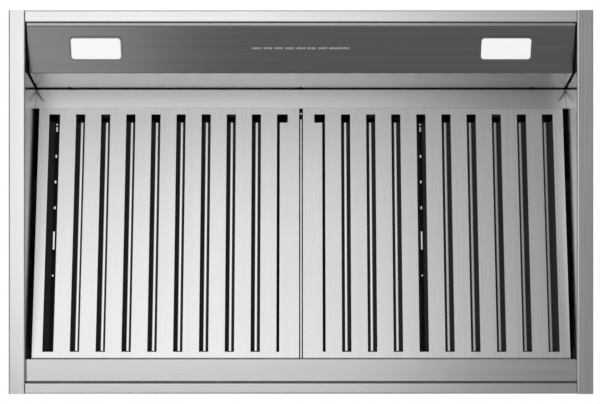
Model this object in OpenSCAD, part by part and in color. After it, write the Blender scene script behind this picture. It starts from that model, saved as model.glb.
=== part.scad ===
// Wall mount range hood. The rim stands on z = 0, the wall is toward +Y, the front toward -Y.

/* [Canopy] */
// Overall width
hood_w = 914.4; // [812.8:50.8:1066.8]
// Overall depth, front to wall
hood_d = 600; // [560:10:660]
// Height of the sheet body over the rim
body_h = 457.2; // [430:5:560]
// Height of the upright front band
band_h = 100; // [50:5:150]
// Depth of the flat top
top_depth = 340; // [325:5:400]
// Thickness of the canopy sheet
sheet_t = 1.2; // [1:0.1:1.6]
// Outer radius of a fold
fold_r = 2.4; // [2:0.1:3]
// Clearance between a piece and its seat
seat_gap = 0.3; // [0.2:0.05:0.5]

/* [Rim] */
// Width of the bottom flange at each side
side_flange_w = 26; // [20:1:34]
// Width of the front lip
front_lip_w = 19; // [16:1:28]
// Width of the rear lip
rear_lip_w = 17.2; // [12:0.2:20]
// Height of the return behind a lip
lip_return_h = 14; // [8:1:16]
// Width of the flange under the top panel
top_flange_w = 20; // [14:1:26]
// Height of the liner wall over the filter face
liner_over = 40; // [34:1:60]

/* [Control panel] */
// Seam between the front lip and the panel
panel_seam = 1; // [0.6:0.1:2]
// Height of the panel's hem over the rim
hem_z = 0.8; // [0.4:0.1:2]
// Width of the hem strip
hem_w = 5.4; // [4:0.1:7]
// Rise of the hem strip toward the slanted panel
hem_rise = 1.5; // [0:0.1:2]
// Height of the hem's return
hem_h = 8.2; // [5:0.2:12]
// Outer radius of the panel's folds
panel_fold_r = 1.6; // [1.3:0.1:3]
// Horizontal run of the slanted panel
slant_run = 71.1; // [60:0.5:90]
// Rise of the slanted panel
slant_rise = 34.2; // [25:0.5:42]
// Horizontal run of the riser
riser_run = 18.2; // [12:0.5:26]
// Rise of the riser
riser_rise = 91.9; // [75:1:110]
// Width of the flange behind the riser's top edge
riser_flange = 15; // [8:1:20]
// Gap from the panel's ends to the liner walls
panel_end_gap = 2.5; // [1.5:0.1:4]
// Width of a locating notch in the riser's top edge
notch_w = 4.6; // [3:0.2:7]
// Depth of a notch below the riser's top edge
notch_h = 8; // [3:0.5:12]
// Distance of the outer notches from the hood's sides
notch_side = 81.2; // [60:2:120]
// Length of a bracket that carries the panel's end
bracket_l = 40; // [30:1:48]
// Width of the bracket's leg on the panel
bracket_leg = 26; // [18:1:32]
// Height of the bracket's leg on the liner wall
bracket_up = 30; // [20:1:40]
// Width of the touch board
touch_w = 168; // [120:2:200]
// Length of the touch board along the slant
touch_l = 30; // [20:1:40]

/* [Lamps] */
// Distance of each lamp's middle from the hood's side
lamp_side = 134.9; // [130:1:190]
// Distance of each lamp's middle from the slant's middle, toward the front
lamp_forward = 2.2; // [0:0.2:4]
// Width of the lens
lens_w = 78; // [60:0.5:95]
// Length of the lens along the slant
lens_l = 35; // [28:0.5:42]
// Corner radius of the lens
lens_r = 5; // [3:0.5:10]
// Width of the bezel ring
bezel_w = 3.2; // [2:0.2:5]
// Height of the lamp housing
housing_h = 24; // [16:1:30]

/* [Filters] */
// Step from the riser's top edge to the filter plane
ledge_step = 1.2; // [0.8:0.1:2]
// Length of the ledge plate along the slope
ledge_len = 32.6; // [26:0.1:50]
// Outer radius of the ledge's fold
ledge_fold_r = 1.3; // [1.3:0.1:3]
// Rim of the ledge behind its stop
ledge_rim = 1.5; // [1:0.1:3]
// Height of the filter's rear edge over the rim
filter_rear_z = 28.7; // [28:0.5:40]
// Gap between ledge and filter
filter_front_gap = 0.2; // [0.15:0.05:1]
// Gap between filter and liner wall
filter_side_gap = 6.2; // [5.6:0.1:9]
// Gap between the two filters
filter_mid_gap = 6.1; // [5.6:0.1:9]
// Thickness of the filter sheet
filter_t = 0.8; // [0.6:0.1:1]
// Height of the filter's side walls
filter_h = 24; // [23.5:0.5:26]
// Height of the filter's front wall
filter_front_h = 12; // [9:0.5:12.5]
// Number of slots in each filter
slot_count = 10; // [8:1:10]
// Width of a slot
slot_w = 14.9; // [10:0.1:15.5]
// Extra width of the first and last slots
slot_extra = 2.6; // [0:0.1:3]
// Border from the filter's front end to the slots
slot_border = 9.8; // [9:0.1:16]
// Border from the filter's rear end to the slots
slot_rear_border = 9.5; // [9:0.1:16]
// Distance from the inner edge to the first slot's middle
slot_in = 28.5; // [26:0.1:32]
// Distance from the outer edge to the last slot's middle
slot_out = 26.5; // [25:0.1:32]
// Height of the lips along the slots
slot_lip_h = 10; // [6:0.5:12]
// Open width of the partly closed inner slot
inner_slot_w = 4.7; // [3:0.1:6]
// Open length at the front of the inner slot
inner_slot_l = 14; // [6:0.2:16]
// Distance of the baffles from the slots' front ends
baffle_start = 7.7; // [2:0.1:12]
// Width of a baffle's flat web
baffle_web = 5; // [5:0.1:10]
// Width over a baffle's legs
baffle_w = 28; // [22:0.5:29]
// Height of a baffle's web over the filter face
baffle_z = 22.9; // [20:0.1:23]
// Height of a baffle's leg ends over the filter face
baffle_low = 8; // [5:0.5:12]
// Reach of a catch over the filter's front wall
catch_reach = 13.7; // [12:0.1:16]
// Width of a catch
catch_w = 26; // [18:1:34]
// Radius of a filter pin
pin_r = 3; // [2.5:0.1:3.4]
// Running clearance of a filter pin
pin_clear = 0.05; // [0.02:0.01:0.08]
// Distance of the pin from the filter's rear edge
pin_back = 5.8; // [5:0.1:9]
// Height of the pin over the filter face
pin_up = 5; // [4.6:0.1:7]
// Height of the centre divider over the filter face
divider_h = 40; // [34:1:60]
// Thickness of the centre divider
divider_t = 2; // [1.2:0.1:3]
// Radius of the stud under the divider's front end
stud_r = 1.6; // [1:0.1:1.8]
// Height of the stud's end over the filter face
stud_z = 5; // [2:0.5:9]
// Length of the relief under the divider's front end
relief_l = 18; // [8:0.5:30]

/* [Grease tray] */
// Width of the tray, front to back
tray_w = 35.5; // [26:0.5:44]
// Height of the tray's floor over the rim
tray_z = 10; // [6:0.5:12]
// Outer radius of the tray's folds
tray_fold_r = 1.4; // [1:0.1:3]
// Length of a tray clip
clip_l = 20; // [14:1:30]
// Height of a tray clip's leg on the wall
clip_up = 26; // [18:1:32]
// Height of a tray clip's leg behind the tray
clip_down = 15; // [12:0.5:18]
// Height of a tray clip's bend over the tray
clip_over = 9; // [5:0.5:11]
// Height of the tray's walls
tray_h = 15; // [9:0.5:15.5]
// Gap between tray and rear lip
tray_gap = 1.1; // [1:0.1:4]
// Gap between filter and tray
tray_front_gap = 0.4; // [0.4:0.1:3]

/* [Blower] */
// Outer radius of the wheel
wheel_r = 100; // [92:1:101]
// Inner radius of the blade ring
wheel_in_r = 82; // [81.5:0.5:86]
// Half length of the wheel
wheel_half = 88; // [70:1:90]
// Number of blades on each side of the disc
blade_count = 36; // [24:2:42]
// Thickness of a blade
blade_t = 1.2; // [0.8:0.1:1.5]
// Radius of a blade's curve
blade_r = 14; // [12:0.5:20]
// Half width of the scroll
scroll_half = 102; // [96:1:112]
// Scroll reach behind the wheel's axis
scroll_back = 118; // [114:1:122]
// Scroll reach under the wheel's axis
scroll_low = 140; // [134:1:150]
// Distance from the top's front edge to the scroll
blower_front = 50; // [42:1:60]
// Reach of the outlet behind the wheel's axis
outlet_back = 40; // [30:1:48]
// Width of the scroll's mounting flanges
blower_flange = 20; // [16:1:24]
// Height of the outlet over the wheel's axis
outlet_up = 155.7; // [140:1:170]
// Gap between scroll and back panel
scroll_gap = 5.8; // [3:0.2:12]
// Radius of an inlet
inlet_r = 78.8; // [72:0.2:80]
// Radius of the motor
motor_r = 50; // [40:1:56]
// Radius of the motor's shaft
shaft_r = 4; // [3:0.1:5]
// Length of a rubber mount
mount_len = 7; // [5:0.5:9]
// Thickness of the motor bracket
bracket_t = 2; // [1.5:0.1:3]
// Width of a bracket arm
arm_w = 18; // [14:1:22]

/* [Duct] */
// Outer radius of the duct collar
collar_r = 99.5; // [96:0.5:100]
// Height of the duct collar
collar_h = 49.5; // [30:0.5:60]
// Wall of the duct collar
collar_t = 1; // [0.8:0.1:1.5]
// Half width of the collar's square flange
collar_flange = 112; // [110:1:118]
// Height of the damper's pin in the collar
damper_z = 24; // [14:0.5:30]
// Radius of the damper's pin
damper_pin_r = 2; // [1.5:0.1:3]

/* [Electrics] */
// Distance of the cable clamp from the hood's side
cable_side = 157.2; // [120:2:180]
// Bore radius of the cable clamp
cable_r = 7; // [5:0.5:9]
// Width of the wiring box
wiring_w = 120; // [110:1:140]
// Height of the wiring box
wiring_h = 55; // [45:1:70]
// Length of the wiring box, front to back
wiring_l = 85; // [70:1:100]
// Radius of the run capacitor
capacitor_r = 16; // [12:0.5:18]
// Length of the run capacitor
capacitor_l = 62; // [50:1:66]
// Width of the lamp driver
driver_w = 32; // [24:1:34]
// Height of the lamp driver
driver_h = 22; // [16:1:28]

/* [Mounting] */
// Spacing of the wall screws across the hood
wall_dx = 406.4; // [300:5:600]
// Spacing of the wall screws up the wall
wall_dz = 280; // [200:5:300]
// Radius of a wall screw hole
wall_hole_r = 4; // [3:0.5:5]
// Height of the lower wall screws
wall_low_z = 130; // [100:5:160]

/* [Hidden] */
$fn = 64;
fold_steps = 4;
eps = 0.01;

half_w = hood_w / 2;
half_d = hood_d / 2;
liner_x = half_w - side_flange_w;
shell_top = body_h - sheet_t - seat_gap;
top_front_y = half_d - top_depth;
inset = sheet_t + seat_gap;
face_x = half_w - inset;
slope_face = atan2(shell_top - band_h, top_front_y + half_d);

hem_y = -half_d + front_lip_w + panel_seam;
slant_y = hem_y + hem_w;
slant_start = [slant_y, hem_z + hem_rise];
slant_end = [slant_y + slant_run, hem_z + slant_rise];
riser_top = slant_end + [riser_run, riser_rise];
slant_a = atan2(slant_rise - hem_rise, slant_run);
panel_x = liner_x - panel_end_gap;
lamp_x = half_w - lamp_side;
notch_x = half_w - notch_side;

plane_y = riser_top[0] + ledge_step;
plane_z = riser_top[1] + ledge_step;
tray_back_y = half_d - rear_lip_w - tray_gap;
tray_front_y = tray_back_y - tray_w;
filter_rear_y = tray_front_y - tray_front_gap;
slope_a = atan2(plane_z - filter_rear_z, filter_rear_y - plane_y);
slope_rear_v = (filter_rear_y - plane_y) / cos(slope_a);
ledge_v0 = ledge_step / 4;
ledge_v1 = ledge_v0 + ledge_len;
filter_v0 = ledge_v1 + filter_front_gap;
filter_v1 = slope_rear_v;
filter_x0 = filter_mid_gap / 2;
filter_x1 = liner_x - filter_side_gap;
slot_v0 = filter_v0 + slot_border;
slot_v1 = filter_v1 - slot_rear_border;
slot_pitch = (filter_x1 - slot_out - filter_x0 - slot_in) / (slot_count - 1);
pin_v = filter_v1 - pin_back;
pin_head = pin_up - pin_r - filter_t - seat_gap;
rail_t = 1;
rail_w = 18;
rail_z = baffle_z + filter_t + seat_gap;
hanger_t = 2;
hanger_half = 11;
hanger_down = 7;
hanger_up = 15;
catch_t = 0.6;
stop_v1 = ledge_v1 - ledge_rim;

wheel_y = half_d - inset - scroll_gap + seat_gap - scroll_back;
wheel_z = shell_top - outlet_up;
outlet_y0 = top_front_y + blower_front;
outlet_y1 = wheel_y + outlet_back;
duct_y = (outlet_y0 + outlet_y1) / 2;
scroll_t = 1.2;
plate_x = scroll_half + seat_gap;
arc_mid_y = wheel_y - 13;
arc_low_z = wheel_z - 9;
bracket_x = plate_x + scroll_t + seat_gap;
motor_x0 = bracket_x - seat_gap - mount_len - seat_gap;
motor_x1 = 8;
screw_r = 2;
screw_hole_r = 2.3;
head_r = 4;
head_h = 2.4;
collar_z = body_h + seat_gap;
duct_cut = collar_r - 2.5;
flange_t = 1.2;
damper_h = collar_z + damper_z;
flap_r = collar_r - collar_t - 3.5;
knuckle_r = damper_pin_r + 2;
knuckle_l = 18;
cable_x = half_w - cable_side;
box_x0 = cable_x - wiring_w / 2;
box_x1 = cable_x + wiring_w / 2;
box_y1 = half_d - top_flange_w - seat_gap;
box_y0 = box_y1 - wiring_l;
box_z0 = shell_top - wiring_h;
cable_y = box_y1 - cable_r - 12;
led_board = [lens_w - 4, lens_l - 4];

// Outline of a folded sheet. The path is its face line, and a positive depth puts the sheet on its left.
function unit(v) = v / norm(v);
function left_of(v) = [-v[1], v[0]];
function cross2(a, b) = a[0] * b[1] - a[1] * b[0];
function turned(v, a) = [v[0] * cos(a) - v[1] * sin(a), v[0] * sin(a) + v[1] * cos(a)];
function arc_point(corner, u, w, r, d, f) =
    let (s = sign(cross2(u, w)), bend = acos(u * w))
    corner - u * r * tan(bend / 2) + left_of(u) * s * r
    - turned(left_of(u) * s * (r - s * d), s * bend * f);
function side_line(path, r, d) = concat(
    [path[0] + left_of(unit(path[1] - path[0])) * d],
    [for (i = [1:len(path) - 2]) for (k = [0:fold_steps])
        arc_point(path[i], unit(path[i] - path[i - 1]), unit(path[i + 1] - path[i]), r, d, k / fold_steps)],
    [path[len(path) - 1] + left_of(unit(path[len(path) - 1] - path[len(path) - 2])) * d]
);
function reversed(list) = [for (i = [len(list) - 1:-1:0]) list[i]];
function slope_point(v, w) = [
    plane_y + v * cos(slope_a) + w * sin(slope_a),
    plane_z - v * sin(slope_a) + w * cos(slope_a)
];
function slot_mid(k) = filter_x0 + slot_in + k * slot_pitch;

module folded(path, d, r = fold_r) {
    polygon(concat(side_line(path, r, 0), reversed(side_line(path, r, d))));
}

module along_x(x0, x1) {
    translate([x0, 0, 0]) rotate([90, 0, 90]) linear_extrude(height = x1 - x0) children();
}

module along_y(y0, y1) {
    translate([0, y1, 0]) rotate([90, 0, 0]) linear_extrude(height = y1 - y0) children();
}

module box(a, b) {
    translate(a) cube(b - a);
}

module both_sides() {
    children();
    mirror([1, 0, 0]) children();
}

module on_slope() {
    translate([0, plane_y, plane_z]) rotate([-slope_a, 0, 0]) children();
}

module on_panel() {
    translate([0, (slant_start[0] + slant_end[0]) / 2, (slant_start[1] + slant_end[1]) / 2])
        rotate([slant_a, 0, 0])
            children();
}

module rounded(w, l, r) {
    square([w - 2 * r, l], center = true);
    square([w, l - 2 * r], center = true);
    for (x = [-1, 1]) for (y = [-1, 1])
        translate([x * (w / 2 - r), y * (l / 2 - r)]) circle(r = r);
}

module slab(w, l, r, z0, z1) {
    translate([0, 0, z0]) linear_extrude(height = z1 - z0) rounded(w, l, r);
}

module upright(r, z0, z1) {
    translate([0, 0, z0]) cylinder(r = r, h = z1 - z0);
}

module lying(r, x0, x1) {
    translate([x0, 0, 0]) rotate([0, 90, 0]) cylinder(r = r, h = x1 - x0);
}

// Canopy shell
module side_panel() {
    side_path = [
        [half_w - top_flange_w, shell_top], [half_w, shell_top], [half_w, 0],
        [liner_x, 0], [liner_x, plane_z + liner_over]
    ];
    outer_line = [
        [-half_d, 0], [-half_d, band_h], [top_front_y, shell_top], [half_d, shell_top], [half_d, 0]
    ];
    inner_line = [
        [-half_d + inset, 0],
        [-half_d + inset, band_h + (inset - inset / sin(slope_face)) * tan(slope_face)],
        [top_front_y + inset / sin(slope_face), shell_top],
        [half_d - inset, shell_top],
        [half_d - inset, 0]
    ];
    liner_rear_z = slope_point(filter_v1, liner_over)[1];
    liner_cut = [
        [-half_d, plane_z + liner_over], [plane_y, plane_z + liner_over],
        [filter_rear_y, liner_rear_z], [half_d, liner_rear_z], [half_d, body_h], [-half_d, body_h]
    ];
    difference() {
        intersection() {
            along_y(-half_d, half_d) folded(side_path, -sheet_t);
            union() {
                along_x(half_w - sheet_t, half_w + 1) polygon(outer_line);
                along_x(liner_x - 1, half_w - sheet_t) polygon(inner_line);
                box([liner_x - 1, -half_d, -1], [half_w, half_d, sheet_t]);
            }
        }
        along_x(liner_x - 2, liner_x + fold_r + 1) polygon(liner_cut);
        for (y = [0, 1, 2])
            translate([half_w - top_flange_w / 2, top_screw_y(y), 0])
                upright(screw_hole_r, shell_top - fold_r - 2, body_h);
    }
}

function top_screw_y(i) = top_front_y + 40 + i * (top_depth - 70) / 2;

module left_side_panel() {
    color("silver") mirror([1, 0, 0]) side_panel();
}

module right_side_panel() {
    color("silver") side_panel();
}

module front_panel() {
    front_path = [
        [-half_d + front_lip_w, lip_return_h], [-half_d + front_lip_w, 0], [-half_d, 0],
        [-half_d, band_h], [top_front_y, shell_top], [top_front_y + top_flange_w, shell_top]
    ];
    lip_y = -half_d + front_lip_w + 1;
    color("silver") difference() {
        along_x(-face_x, face_x) folded(front_path, -sheet_t);
        both_sides() {
            box([liner_x - seat_gap, -half_d - 1, -1], [half_w, lip_y, sheet_t + seat_gap]);
            box([liner_x - seat_gap, -half_d + inset, -1], [half_w, lip_y, lip_return_h + 1]);
            box([half_w - fold_r - seat_gap, -half_d - 1, -1], [half_w, lip_y, fold_r + seat_gap]);
            box([half_w - top_flange_w - seat_gap, top_front_y, shell_top - 2 * fold_r],
                [half_w, top_front_y + top_flange_w + 1, body_h]);
        }
    }
}

module wall_holes() {
    for (x = [-1, 1]) for (z = [0, 1])
        translate([x * wall_dx / 2, half_d + 1, wall_low_z + z * wall_dz])
            rotate([90, 0, 0]) cylinder(r = wall_hole_r, h = sheet_t + 3);
}

module back_panel() {
    back_path = [
        [half_d - top_flange_w, shell_top], [half_d, shell_top], [half_d, 0],
        [half_d - rear_lip_w, 0], [half_d - rear_lip_w, lip_return_h]
    ];
    lip_y = half_d - rear_lip_w - 1;
    color("silver") difference() {
        along_x(-face_x, face_x) folded(back_path, -sheet_t);
        both_sides() {
            box([liner_x - seat_gap, lip_y, -1], [half_w, half_d + 1, sheet_t + seat_gap]);
            box([liner_x - seat_gap, lip_y, -1], [half_w, half_d - inset, lip_return_h + 1]);
            box([half_w - fold_r - seat_gap, lip_y, -1], [half_w, half_d + 1, fold_r + seat_gap]);
            box([half_w - top_flange_w - seat_gap, half_d - top_flange_w - 1, shell_top - 2 * fold_r],
                [half_w, half_d - inset, body_h]);
            box([half_w - fold_r - seat_gap, half_d - top_flange_w, shell_top - fold_r],
                [half_w, half_d + 1, body_h]);
        }
        wall_holes();
    }
}

module collar_screw_places() {
    for (x = [-1, 1]) for (y = [-1, 1])
        translate([x * (collar_flange - 6), duct_y + y * (collar_flange - 6), 0]) children();
}

module blower_screw_places() {
    for (x = [-1, 1]) for (y = [outlet_y0 - blower_flange / 2, outlet_y1 + blower_flange / 2])
        translate([x * scroll_half * 0.6, y, 0]) children();
}

module top_screw_places() {
    for (x = [-1, 1]) for (i = [0, 1, 2])
        translate([x * (half_w - top_flange_w / 2), top_screw_y(i), 0]) children();
}

module top_panel() {
    color("silver") difference() {
        box([-half_w, top_front_y, body_h - sheet_t], [half_w, half_d, body_h]);
        translate([0, duct_y, 0]) box([-duct_cut, -duct_cut, body_h - 10], [duct_cut, duct_cut, body_h + 10]);
        translate([cable_x, cable_y, 0]) upright(cable_r + 4, body_h - 10, body_h + 10);
        collar_screw_places() upright(screw_hole_r, body_h - 10, body_h + 10);
        blower_screw_places() upright(screw_hole_r, body_h - 10, body_h + 10);
        top_screw_places() upright(screw_hole_r, body_h - 10, body_h + 10);
    }
}

// Control panel and lamps
module lamp_places() {
    for (x = [-1, 1]) on_panel() translate([x * lamp_x, -lamp_forward, 0]) children();
}

module control_panel() {
    panel_path = [
        [hem_y, hem_z + hem_h], [hem_y, hem_z], slant_start, slant_end, riser_top,
        riser_top + [-riser_flange, ledge_step]
    ];
    color("dimgray") difference() {
        along_x(-panel_x, panel_x) folded(panel_path, sheet_t, panel_fold_r);
        lamp_places() slab(lens_w, lens_l, lens_r, -2, 4);
        for (x = [-notch_x, 0, notch_x])
            box([x - notch_w / 2, riser_top[0] - riser_flange, riser_top[1] - notch_h],
                [x + notch_w / 2, riser_top[0] + 2, riser_top[1] + 0.5 * sheet_t]);
    }
}

module panel_brackets() {
    leg_x = liner_x - seat_gap;
    bracket_path = [[leg_x - bracket_leg, inset], [leg_x, inset], [leg_x, bracket_up]];
    color("gray") both_sides() on_panel() along_y(-bracket_l / 2 - 2, bracket_l / 2 - 2)
        folded(bracket_path, sheet_t);
}

module lamp_lenses() {
    color("white") lamp_places() {
        slab(lens_w - 2 * seat_gap, lens_l - 2 * seat_gap, lens_r - seat_gap, -0.8, inset + 0.5);
        slab(lens_w + 4, lens_l + 4, lens_r + 2, inset, inset + 1.5);
    }
}

module lamp_bezels() {
    color("gainsboro") lamp_places() difference() {
        slab(lens_w + 2 * bezel_w, lens_l + 2 * bezel_w, lens_r + bezel_w, -seat_gap - 0.9, -seat_gap);
        slab(lens_w, lens_l, lens_r, -4, 4);
    }
}

module lamp_housings() {
    color("lightgray") lamp_places() difference() {
        slab(lens_w + 10, lens_l + 10, lens_r + 5, inset, inset + housing_h);
        slab(lens_w + 7, lens_l + 7, lens_r + 3.5, -1, inset + housing_h - 1.5);
        translate([lens_w / 4, 0, 0]) upright(3, 0, inset + housing_h + 1);
    }
}

module lamp_boards() {
    board_z = inset + housing_h - 1.5 - seat_gap;
    color("ivory") lamp_places() {
        difference() {
            slab(led_board[0], led_board[1], 3, board_z - 1.6, board_z);
            translate([lens_w / 4, 0, 0]) upright(3, 0, board_z + 1);
        }
        for (x = [-1.5:1:1.5]) for (y = [-0.5, 0.5])
            translate([x * led_board[0] / 5, y * led_board[1] / 2, 0])
                slab(5, 5, 0.5, board_z - 2.4, board_z - 1.5);
    }
}

module touch_board() {
    color("darkgreen") on_panel() {
        slab(touch_w, touch_l, 2, inset, inset + 1.6);
        for (k = [-3.5:1:3.5])
            translate([k * touch_w / 8.4, touch_l * 0.13, 0]) upright(5, inset + 1.5, inset + 3);
        translate([0, -touch_l * 0.3, 0]) slab(touch_l, 7, 0.6, inset + 1.5, inset + 8);
    }
}

// Filter bay
module ledge_plate() {
    ledge_path = [[ledge_v0, filter_front_h + 2], [ledge_v0, 0], [ledge_v1, 0]];
    ledge_x = liner_x - seat_gap;
    color("silver") on_slope() along_x(-ledge_x, ledge_x) {
        folded(ledge_path, sheet_t, ledge_fold_r);
        translate([stop_v1 - sheet_t, sheet_t / 2]) square([sheet_t, filter_front_h + 6 - sheet_t / 2]);
    }
}

module centre_divider() {
    rest_y = half_d - inset;
    step = slope_point(filter_v1 + 4, 1);
    outline = [
        slope_point(stop_v1 + seat_gap, filter_front_h),
        slope_point(filter_v0 + relief_l - 2, filter_front_h),
        slope_point(filter_v0 + relief_l, 1), step, [rest_y, step[1] + 2], [rest_y, step[1] + 34],
        slope_point(filter_v1, divider_h), slope_point(filter_v0 + 40, divider_h),
        slope_point(stop_v1 + seat_gap, filter_front_h + 6)
    ];
    stud_v = filter_v0 + relief_l / 2 - stud_r;
    pivot = slope_point(pin_v, pin_up);
    color("silver") difference() {
        along_x(-divider_t / 2, divider_t / 2) polygon(outline);
        translate([0, pivot[0], pivot[1]]) lying(pin_r + pin_clear, -5, 5);
    }
    color("silver") on_slope() translate([0, stud_v, 0]) upright(stud_r, stud_z, filter_front_h + 2);
}

module filter_hangers() {
    pivot = slope_point(pin_v, pin_up);
    x1 = liner_x - seat_gap;
    x0 = x1 - hanger_t;
    slot_r = pin_r + pin_clear;
    color("gray") both_sides() translate([0, pivot[0], pivot[1]]) difference() {
        box([x0, -hanger_half, -hanger_down], [x1, hanger_half - 5.6, hanger_up]);
        lying(slot_r, x0 - 1, x1 + 1);
        box([x0 - 1, -slot_r, 0], [x1 + 1, slot_r, hanger_up + 1]);
    }
}

module filter_catches() {
    v = stop_v1 - sheet_t - seat_gap - catch_t;
    top = filter_front_h + 6 + seat_gap + catch_t;
    tip = v + catch_reach;
    catch_path = [
        [v, filter_front_h / 3], [v, top], [tip - 0.5 * catch_reach, top],
        [tip - 0.25 * catch_reach, top - 9 * catch_t], [tip, top - 3 * catch_t]
    ];
    color("gray") on_slope() both_sides() for (x = [0.25, 0.75])
        along_x(filter_x1 * x - catch_w / 2, filter_x1 * x + catch_w / 2)
            folded(catch_path, -catch_t, 2 * catch_t);
}

module filter_side_wall(x) {
    wall = [
        [filter_v0, 0], [filter_v0, filter_front_h], [filter_v0 + 1.5 * filter_front_h, filter_h],
        [filter_v1, filter_h], [filter_v1, 0]
    ];
    difference() {
        along_x(x, x + filter_t) polygon(wall);
        translate([0, pin_v, pin_up]) lying(pin_r + seat_gap, x - 1, x + 2);
    }
}

module slot_edges(x0, x1) {
    for (x = [x0 - filter_t, x1])
        box([x, slot_v0, 0], [x + filter_t, slot_v1, slot_lip_h]);
}

module filter_pan() {
    last = slot_count - 1;
    narrow = slot_mid(0) + slot_w / 2 - inner_slot_w;
    on_slope() {
        difference() {
            box([filter_x0, filter_v0, 0], [filter_x1, filter_v1, filter_t]);
            for (k = [1:last])
                box([slot_mid(k) - slot_w / 2, slot_v0, -1],
                    [slot_mid(k) + slot_w / 2 + (k == last ? slot_extra : 0), slot_v1, 2]);
            box([narrow, slot_v0, -1], [slot_mid(0) + slot_w / 2, slot_v1, 2]);
            box([slot_mid(0) - slot_w / 2 - slot_extra, slot_v0, -1],
                [slot_mid(0) + slot_w / 2, slot_v0 + inner_slot_l, 2]);
        }
        for (k = [1:last])
            slot_edges(slot_mid(k) - slot_w / 2, slot_mid(k) + slot_w / 2 + (k == last ? slot_extra : 0));
        box([slot_mid(0) + slot_w / 2, slot_v0, 0],
            [slot_mid(0) + slot_w / 2 + filter_t, slot_v1, slot_lip_h]);
        box([narrow - filter_t, slot_v0 + inner_slot_l, 0], [narrow, slot_v1, slot_lip_h]);
        filter_side_wall(filter_x0);
        filter_side_wall(filter_x1 - filter_t);
        box([filter_x0, filter_v0, 0], [filter_x1, filter_v0 + filter_t, filter_front_h]);
        box([filter_x0, filter_v1 - filter_t, 0], [filter_x1, filter_v1, filter_h]);
    }
}

module filter_baffles() {
    hat = [
        [-baffle_w / 2, baffle_low], [-baffle_web / 2, baffle_z],
        [baffle_web / 2, baffle_z], [baffle_w / 2, baffle_low]
    ];
    on_slope() for (k = [0:slot_count - 1])
        translate([slot_mid(k), 0, 0])
            along_y(slot_v0 + baffle_start, slot_v1 - 5) folded(hat, filter_t, 1);
}

module filter_rails() {
    x0 = filter_x0 + filter_t + seat_gap;
    x1 = filter_x1 - filter_t - seat_gap;
    rail_path = [[x0, rail_z - 10], [x0, rail_z + rail_t], [x1, rail_z + rail_t], [x1, rail_z - 10]];
    on_slope() for (f = [0.14, 0.86])
        translate([0, filter_v0 + f * (filter_v1 - filter_v0) - rail_w / 2, 0])
            along_y(0, rail_w) folded(rail_path, -rail_t, 2);
}

module filter_pivots() {
    wall_in = filter_x0 + filter_t + seat_gap;
    wall_out = filter_x1 - filter_t - seat_gap;
    on_slope() translate([0, pin_v, pin_up]) {
        lying(pin_r, seat_gap / 2, wall_in + 0.5);
        lying(pin_r + pin_head, wall_in, wall_in + 1.6);
        lying(pin_r, wall_out - 0.5, liner_x - 2 * seat_gap);
        lying(pin_r + pin_head, wall_out - 1.6, wall_out);
    }
}

module left_filter_pan() {
    color("silver") mirror([1, 0, 0]) filter_pan();
}

module right_filter_pan() {
    color("silver") filter_pan();
}

module left_filter_baffles() {
    color("gray") mirror([1, 0, 0]) filter_baffles();
}

module right_filter_baffles() {
    color("gray") filter_baffles();
}

module left_filter_rails() {
    color("gray") mirror([1, 0, 0]) filter_rails();
}

module right_filter_rails() {
    color("gray") filter_rails();
}

module left_filter_pivots() {
    color("dimgray") mirror([1, 0, 0]) filter_pivots();
}

module right_filter_pivots() {
    color("dimgray") filter_pivots();
}

// Grease tray
module grease_tray() {
    end_x = liner_x - 2 * seat_gap;
    top = tray_z + tray_h;
    tray_path = [[tray_front_y, top], [tray_front_y, tray_z], [tray_back_y, tray_z], [tray_back_y, top]];
    corners = [[tray_front_y, top], [tray_front_y, tray_z + 1], [tray_front_y + 1, tray_z],
        [tray_back_y - 1, tray_z], [tray_back_y, tray_z + 1], [tray_back_y, top]];
    color("silver") {
        along_x(-end_x, end_x) folded(tray_path, filter_t, tray_fold_r);
        both_sides() along_x(end_x - filter_t, end_x) polygon(corners);
    }
}

module tray_clips() {
    wall_y = half_d - inset;
    clip_y = tray_back_y + seat_gap + catch_t;
    clip_z = tray_z + tray_h + clip_over;
    clip_path = [
        [wall_y, clip_z + clip_up], [wall_y, clip_z], [clip_y, clip_z], [clip_y, clip_z - clip_down]
    ];
    color("gray") both_sides() for (x = [0.3, 0.85])
        along_x(liner_x * x - clip_l / 2, liner_x * x + clip_l / 2) folded(clip_path, -catch_t, 2 * catch_t);
}

// Blower
module quarter(c, r, sy, sz) {
    intersection() {
        translate(c) circle(r = r);
        translate(c + [sy < 0 ? -2 * r : 0, sz < 0 ? -2 * r : 0]) square(2 * r);
    }
}

module scroll_area(cut) {
    front_y = outlet_y0 + cut;
    rear_y = outlet_y1 - cut;
    front_r = arc_mid_y - outlet_y0;
    low_z = wheel_z - scroll_low;
    back_y = wheel_y + scroll_back;
    back_r = back_y - arc_mid_y;
    front_z = low_z + front_r;
    rear_z = low_z + back_r;
    quarter([arc_mid_y, front_z], front_r - cut, -1, -1);
    quarter([arc_mid_y, rear_z], back_r - cut, 1, -1);
    quarter([wheel_y, rear_z], scroll_back - cut, 1, 1);
    translate([front_y, front_z]) square([rear_y - front_y, shell_top - front_z + cut]);
    translate([arc_mid_y, rear_z]) square([wheel_y - arc_mid_y + 1, front_z - rear_z + 1]);
}

module blower_scroll() {
    color("lightgray") difference() {
        union() {
            along_x(-scroll_half, scroll_half) scroll_area(0);
            box([-scroll_half, outlet_y0 - blower_flange, shell_top - scroll_t],
                [scroll_half, outlet_y1 + blower_flange, shell_top]);
        }
        along_x(-scroll_half - 1, scroll_half + 1) scroll_area(scroll_t);
        blower_screw_places() upright(screw_hole_r, shell_top - 5, shell_top + 5);
    }
}

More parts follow.
